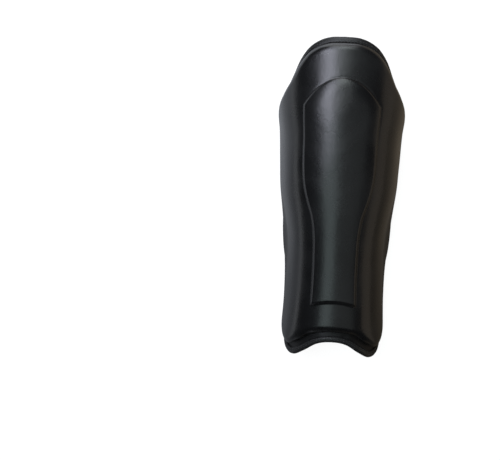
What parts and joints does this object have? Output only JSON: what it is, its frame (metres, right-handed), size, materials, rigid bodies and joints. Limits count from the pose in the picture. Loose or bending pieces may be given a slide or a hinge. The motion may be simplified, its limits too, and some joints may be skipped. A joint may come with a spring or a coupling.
{
  "type": "shin guard",
  "caption": "Moulded black leather shin guard with a raised shin panel, a bound backing panel that shows as a rim and an ankle lip, and elastic straps behind.",
  "frame": {"origin": "under the middle of the guard, on the surface that it lies on", "axes": "+Z from the leg to the front of the shin, +Y towards the knee, X across the shin"},
  "size_m": [0.1386, 0.3646, 0.1055],
  "materials": {
    "front_pad": "smooth, semi-gloss",
    "backing_panel": "matt lining",
    "edge_binding": "woven tape, satin",
    "calf_strap": "woven elastic, matt",
    "calf_strap_tab": "hook and loop pile, matt",
    "ankle_strap": "woven elastic, matt",
    "ankle_strap_tab": "hook and loop pile, matt"
  },
  "bodies": {
    "root": {"front_pad": "front_pad", "backing_panel": "backing_panel", "edge_binding": "edge_binding", "calf_strap": "calf_strap", "calf_strap_tab": "calf_strap_tab", "ankle_strap": "ankle_strap", "ankle_strap_tab": "ankle_strap_tab"}
  },
  "joints": []
}
